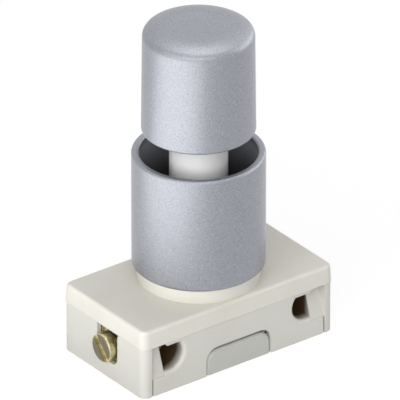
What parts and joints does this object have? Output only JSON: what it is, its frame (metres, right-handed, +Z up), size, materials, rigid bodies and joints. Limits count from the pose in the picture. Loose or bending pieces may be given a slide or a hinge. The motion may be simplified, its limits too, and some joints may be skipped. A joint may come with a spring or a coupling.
{
  "type": "push on push off lamp switch",
  "caption": "Built-in lamp switch with a tall push button in a guard sleeve on a flat screw-terminal housing; each press turns a rotor that makes or breaks the contact.",
  "frame": {"origin": "middle of the flat underside of the housing", "axes": "+Z up along the button's travel towards the cap, X along the housing with a terminal screw at each end, wire entries in the -Y face"},
  "size_m": [0.0352, 0.0186, 0.0495],
  "materials": {
    "silver_lacquer": "satin silver lacquer",
    "cream_plastic": "moulded",
    "white_plastic": "moulded",
    "rotor_plastic": "moulded",
    "brass": "drawn and turned",
    "contact_silver": "polished",
    "spring_steel": "drawn"
  },
  "bodies": {
    "housing": {"terminal_base": "cream_plastic", "housing_cover": "cream_plastic", "guard_sleeve": "silver_lacquer", "pivot_pin": "spring_steel", "return_spring": "spring_steel", "detent_leaf": "spring_steel", "left_contact_strip": "brass", "right_contact_strip": "brass", "left_contact_rivet": "contact_silver", "right_contact_rivet": "contact_silver", "left_terminal_block": "brass", "right_terminal_block": "brass"},
    "button": {"button_cap": "silver_lacquer", "plunger": "white_plastic"},
    "rotor": {"cam_rotor": "rotor_plastic", "contact_bridge": "brass", "bridge_contacts": "contact_silver", "thrust_washer": "spring_steel"},
    "left_screw": {"left_terminal_screw": "brass"},
    "right_screw": {"right_terminal_screw": "brass"}
  },
  "joints": [
    {"name": "button_press", "type": "slide", "parent": "housing", "child": "button", "axis": [0, 0, -1], "range_m": [0, 0.005], "stiffness_N_per_m": 400, "springref_m": -0.006, "deforming": ["return_spring"]},
    {"name": "rotor_turn", "type": "hinge", "parent": "housing", "child": "rotor", "pos_m": [0, 0, 0.003], "axis": [0, 0, 1], "range_deg": [0, 70], "deforming": ["detent_leaf"]},
    {"name": "left_screw_turn", "type": "hinge", "parent": "housing", "child": "left_screw", "pos_m": [-0.016, -0.00088, 0.00485], "axis": [1, 0, 0], "range_deg": [0, 540]},
    {"name": "right_screw_turn", "type": "hinge", "parent": "housing", "child": "right_screw", "pos_m": [0.016, -0.00088, 0.00485], "axis": [-1, 0, 0], "range_deg": [0, 540]}
  ],
  "couplings": [
    {"joint": "rotor_turn", "follows": "button_press", "rad_per_m": 244.3}
  ]
}
